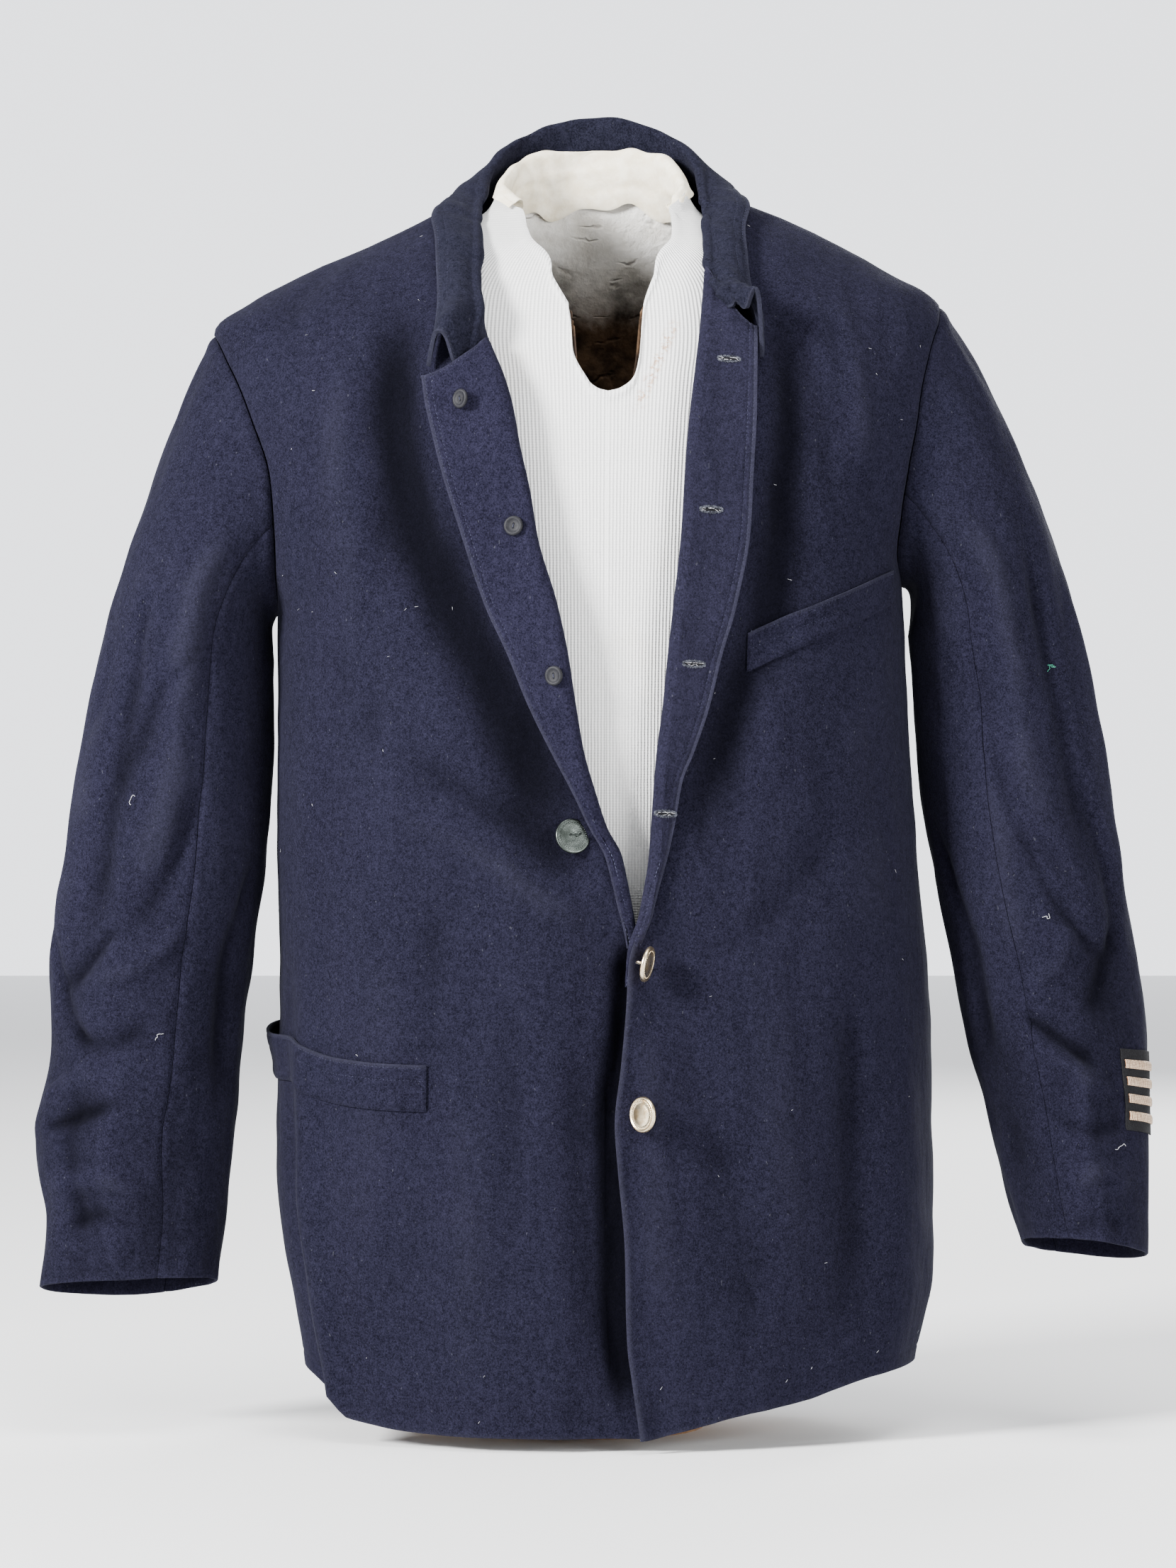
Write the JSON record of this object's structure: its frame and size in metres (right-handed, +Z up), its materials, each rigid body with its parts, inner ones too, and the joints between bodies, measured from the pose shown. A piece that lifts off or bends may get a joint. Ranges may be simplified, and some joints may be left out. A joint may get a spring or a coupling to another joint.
{
  "type": "porter uniform jacket on a dress form",
  "caption": "Navy wool uniform jacket, open at the top with turned-back fronts, standing on a hollow limbless dress form.",
  "frame": {"origin": "centre of the underside of the dress form's foot, on the floor", "axes": "+Z up; the jacket's front faces -Y; the wearer's left is +X and the wearer's right is -X"},
  "size_m": [0.7166, 0.2934, 0.8563],
  "materials": {
    "wool": "napped navy wool melton",
    "facing": "napped navy wool, the facing side",
    "black_felt": "matte black wool felt",
    "gold_braid": "woven metallic gold braid, tarnished",
    "nickel": "dull nickel plate",
    "brass": "polished gilt brass, worn",
    "dark_horn": "satin dark horn",
    "knit": "white ribbed cotton knit over papier-mache",
    "form_wood": "waxed beech"
  },
  "bodies": {
    "root": {"front_right": "wool", "front_left": "wool", "back_right": "wool", "back_left": "wool", "lapel_right": "facing", "lapel_left": "facing", "top_sleeve_right": "wool", "under_sleeve_right": "wool", "top_sleeve_left": "wool", "under_sleeve_left": "wool", "collar": "wool", "hip_welt_right": "wool", "chest_welt": "wool", "stripe_backing": "black_felt", "stripe_1": "gold_braid", "stripe_2": "gold_braid", "stripe_3": "gold_braid", "stripe_4": "gold_braid", "button_4": "nickel", "shank_4": "nickel", "button_5": "brass", "shank_5": "brass", "button_6": "brass", "shank_6": "brass", "stay_button_1": "dark_horn", "stay_button_2": "dark_horn", "stay_button_3": "dark_horn", "form_shell": "knit", "form_board": "form_wood", "form_foot": "form_wood"}
  },
  "joints": []
}
